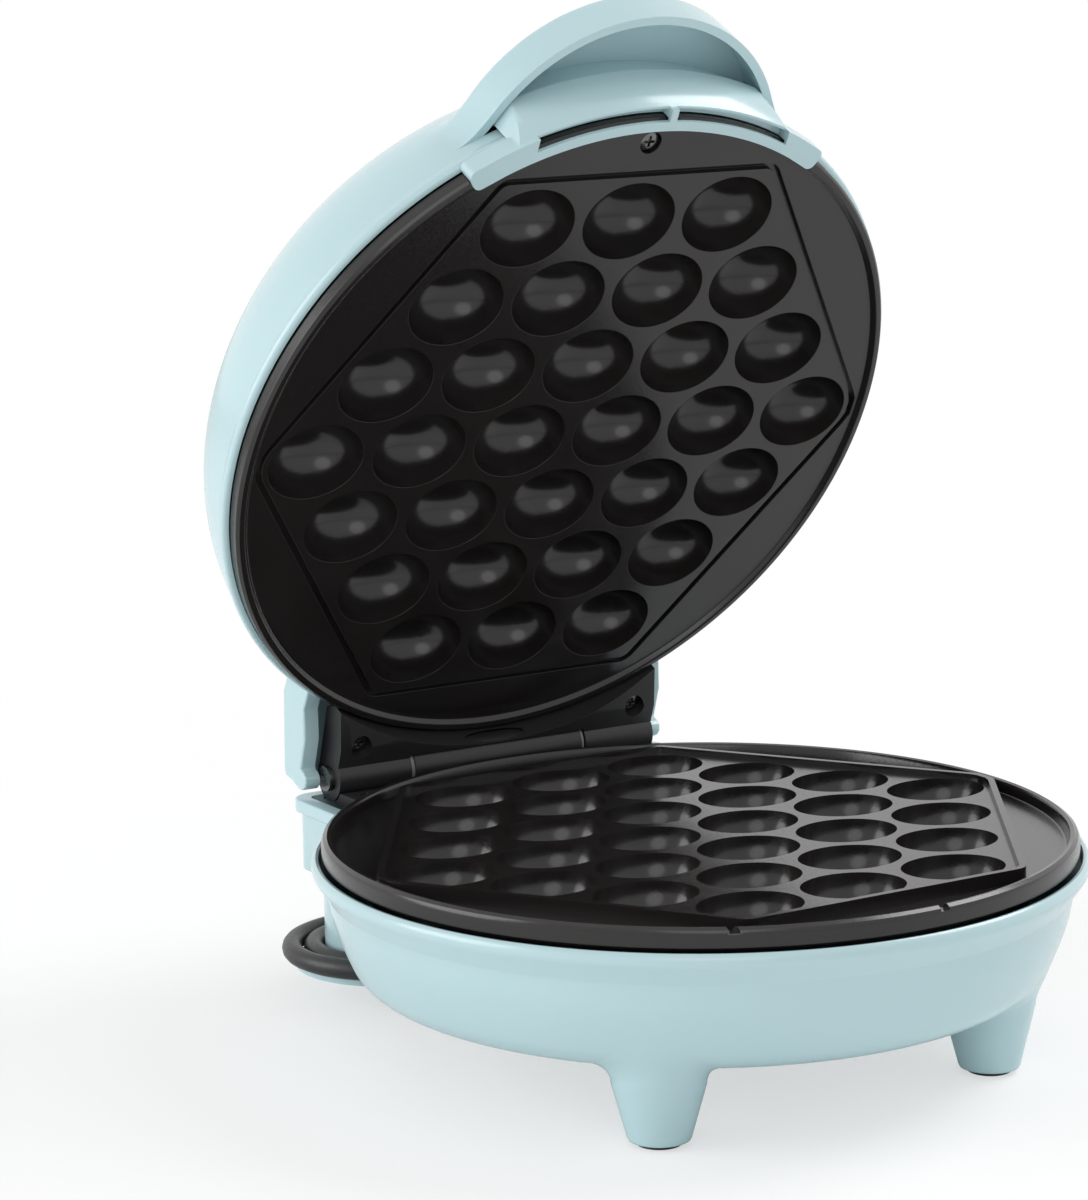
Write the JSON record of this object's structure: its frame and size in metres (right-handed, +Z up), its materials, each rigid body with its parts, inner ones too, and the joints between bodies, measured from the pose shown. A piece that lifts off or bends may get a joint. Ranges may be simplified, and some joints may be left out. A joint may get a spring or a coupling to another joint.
{
  "type": "egg waffle maker",
  "caption": "Electric egg waffle maker with a round footed base, domed hinged lid with finger grip, two cast plates of oval wells, and a cord wound on a rear spool.",
  "frame": {"origin": "on the floor, under the middle of the object's box with the lid open as pictured, cord left out", "axes": "+Z up, +Y to the rear hinge, +X to the object's right seen from its front"},
  "size_m": [0.1964, 0.2621, 0.2656],
  "materials": {
    "mint_shell": "glossy mint moulding",
    "foot_pad": "matt black rubber",
    "plate_coating": "black non-stick coating on cast aluminium, satin",
    "hinge_plastic": "fine textured black",
    "inner_ceramic": "plain unglazed",
    "shield_metal": "rolled sheet",
    "heater_steel": "dull sheath",
    "wire_sleeve": "woven glass sleeve, plain",
    "cord_jacket": "smooth black jacket",
    "plug_casing": "moulded black",
    "pin_brass": "bright",
    "washer": "plain nylon",
    "screw_steel": "zinc plated"
  },
  "bodies": {
    "base": {"base_shell": "mint_shell", "cord_spool": "mint_shell", "foot_pads": "foot_pad", "lower_plate": "plate_coating", "lower_plate_screw": "screw_steel", "lower_heater": "heater_steel", "lower_heat_shield": "shield_metal", "lower_shield_screws": "screw_steel", "thermostat": "inner_ceramic", "thermal_fuse": "inner_ceramic", "terminal_block": "inner_ceramic", "base_wiring": "wire_sleeve", "hinge_bracket": "hinge_plastic", "bracket_screws": "screw_steel", "hinge_pin": "screw_steel", "friction_washers": "washer", "spool_screws": "screw_steel", "cord_bushing": "cord_jacket", "cord_lead": "cord_jacket", "cord_winding": "cord_jacket", "cord_end": "cord_jacket", "plug_body": "plug_casing", "plug_pins": "pin_brass"},
    "lid": {"lid_shell": "mint_shell", "handle_grip": "mint_shell", "upper_plate": "plate_coating", "upper_plate_screw": "screw_steel", "upper_heater": "heater_steel", "upper_heat_shield": "shield_metal", "upper_shield_screws": "screw_steel", "lid_hinge_frame": "hinge_plastic", "frame_screws": "screw_steel", "lid_wiring": "wire_sleeve"}
  },
  "joints": [
    {"name": "lid_hinge", "type": "hinge", "parent": "base", "child": "lid", "pos_m": [0, 0.0842, 0.0577], "axis": [-1, 0, 0], "range_deg": [-62.85, 23]}
  ]
}
